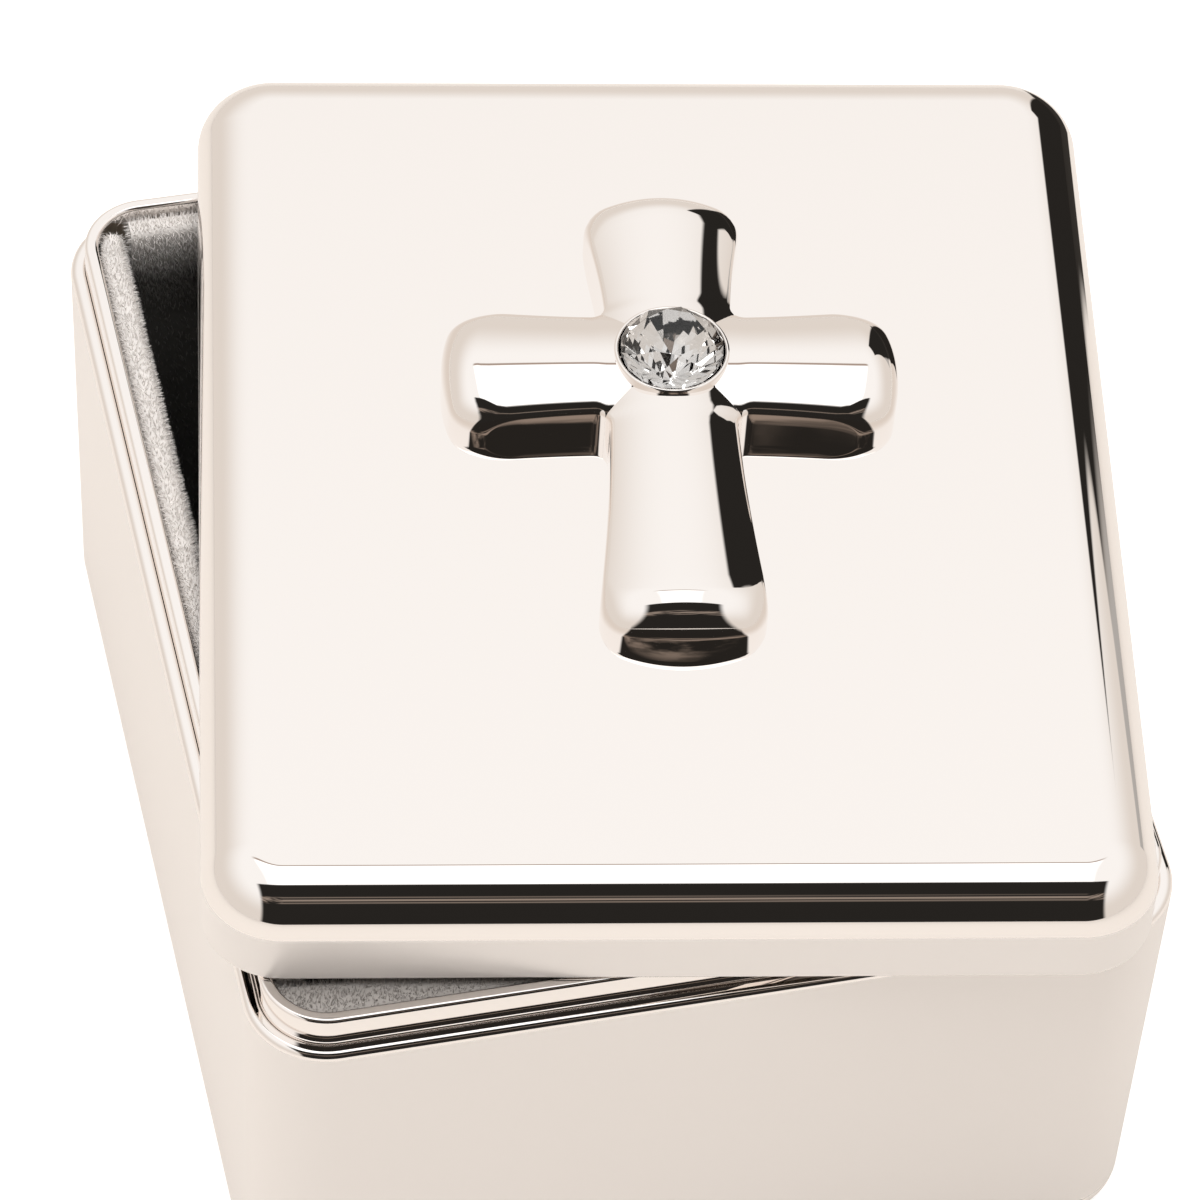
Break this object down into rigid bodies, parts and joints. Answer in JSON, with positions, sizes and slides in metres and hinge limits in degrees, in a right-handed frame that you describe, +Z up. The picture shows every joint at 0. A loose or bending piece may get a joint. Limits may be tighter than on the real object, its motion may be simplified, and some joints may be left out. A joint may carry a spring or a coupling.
{
  "type": "keepsake box",
  "caption": "Small polished metal keepsake box with a velvet lining and a loose cap lid that carries a raised cross with a cut stone; the lid lies askew on the collar.",
  "frame": {"origin": "centre of the tub's flat underside", "axes": "+Z up; +Y towards the back of the tub, the way the top of the cross points; +X to the right"},
  "size_m": [0.061, 0.0698, 0.0421],
  "materials": {
    "silver_plate": "mirror polished silver plate, slightly warm",
    "velvet": "short grey pile",
    "card": "plain stiff card",
    "crystal": "clear, faceted"
  },
  "bodies": {
    "base": {"base_shell": "silver_plate", "rim_collar": "silver_plate", "floor_card": "card", "left_card": "card", "right_card": "card", "front_card": "card", "back_card": "card", "floor_velvet": "velvet", "left_velvet": "velvet", "right_velvet": "velvet", "front_velvet": "velvet", "back_velvet": "velvet"},
    "lid": {"lid_shell": "silver_plate", "lid_card": "card", "lid_velvet": "velvet", "cross": "silver_plate", "stone": "crystal"}
  },
  "joints": [
    {"name": "lid_lift", "type": "slide", "parent": "base", "child": "lid", "axis": [0, 0, 1], "range_m": [0, 0.06]}
  ]
}
